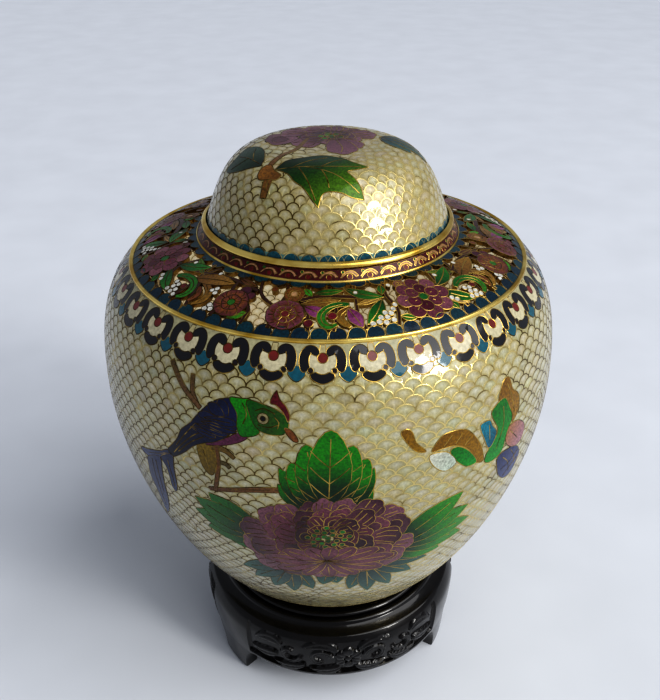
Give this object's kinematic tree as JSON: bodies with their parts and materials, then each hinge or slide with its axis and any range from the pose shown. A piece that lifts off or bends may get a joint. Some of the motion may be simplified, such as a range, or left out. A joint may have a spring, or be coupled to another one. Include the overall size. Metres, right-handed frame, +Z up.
{
  "type": "openwork enamel jar on stand",
  "caption": "Round-bellied enamel jar with a pierced shoulder and a lift-off domed lid, standing in a carved wooden ring stand with three feet.",
  "frame": {"origin": "on the ground, under the middle of the three feet", "axes": "+Z up along the axis of the jar, -Y towards the front with the bird, flower and butterfly, +X to the right"},
  "size_m": [0.1836, 0.1836, 0.2408],
  "materials": {
    "lacquered_wood": "black lacquer, glossy",
    "jar_enamel": "glossy enamel between gilt wires",
    "lid_enamel": "glossy enamel between gilt wires",
    "gilt_brass": "polished gilding"
  },
  "bodies": {
    "root": {"stand": "lacquered_wood", "jar": "jar_enamel", "gilt_shoulder_ring": "gilt_brass", "lid": "lid_enamel", "gilt_lid_rim": "gilt_brass"}
  },
  "joints": []
}
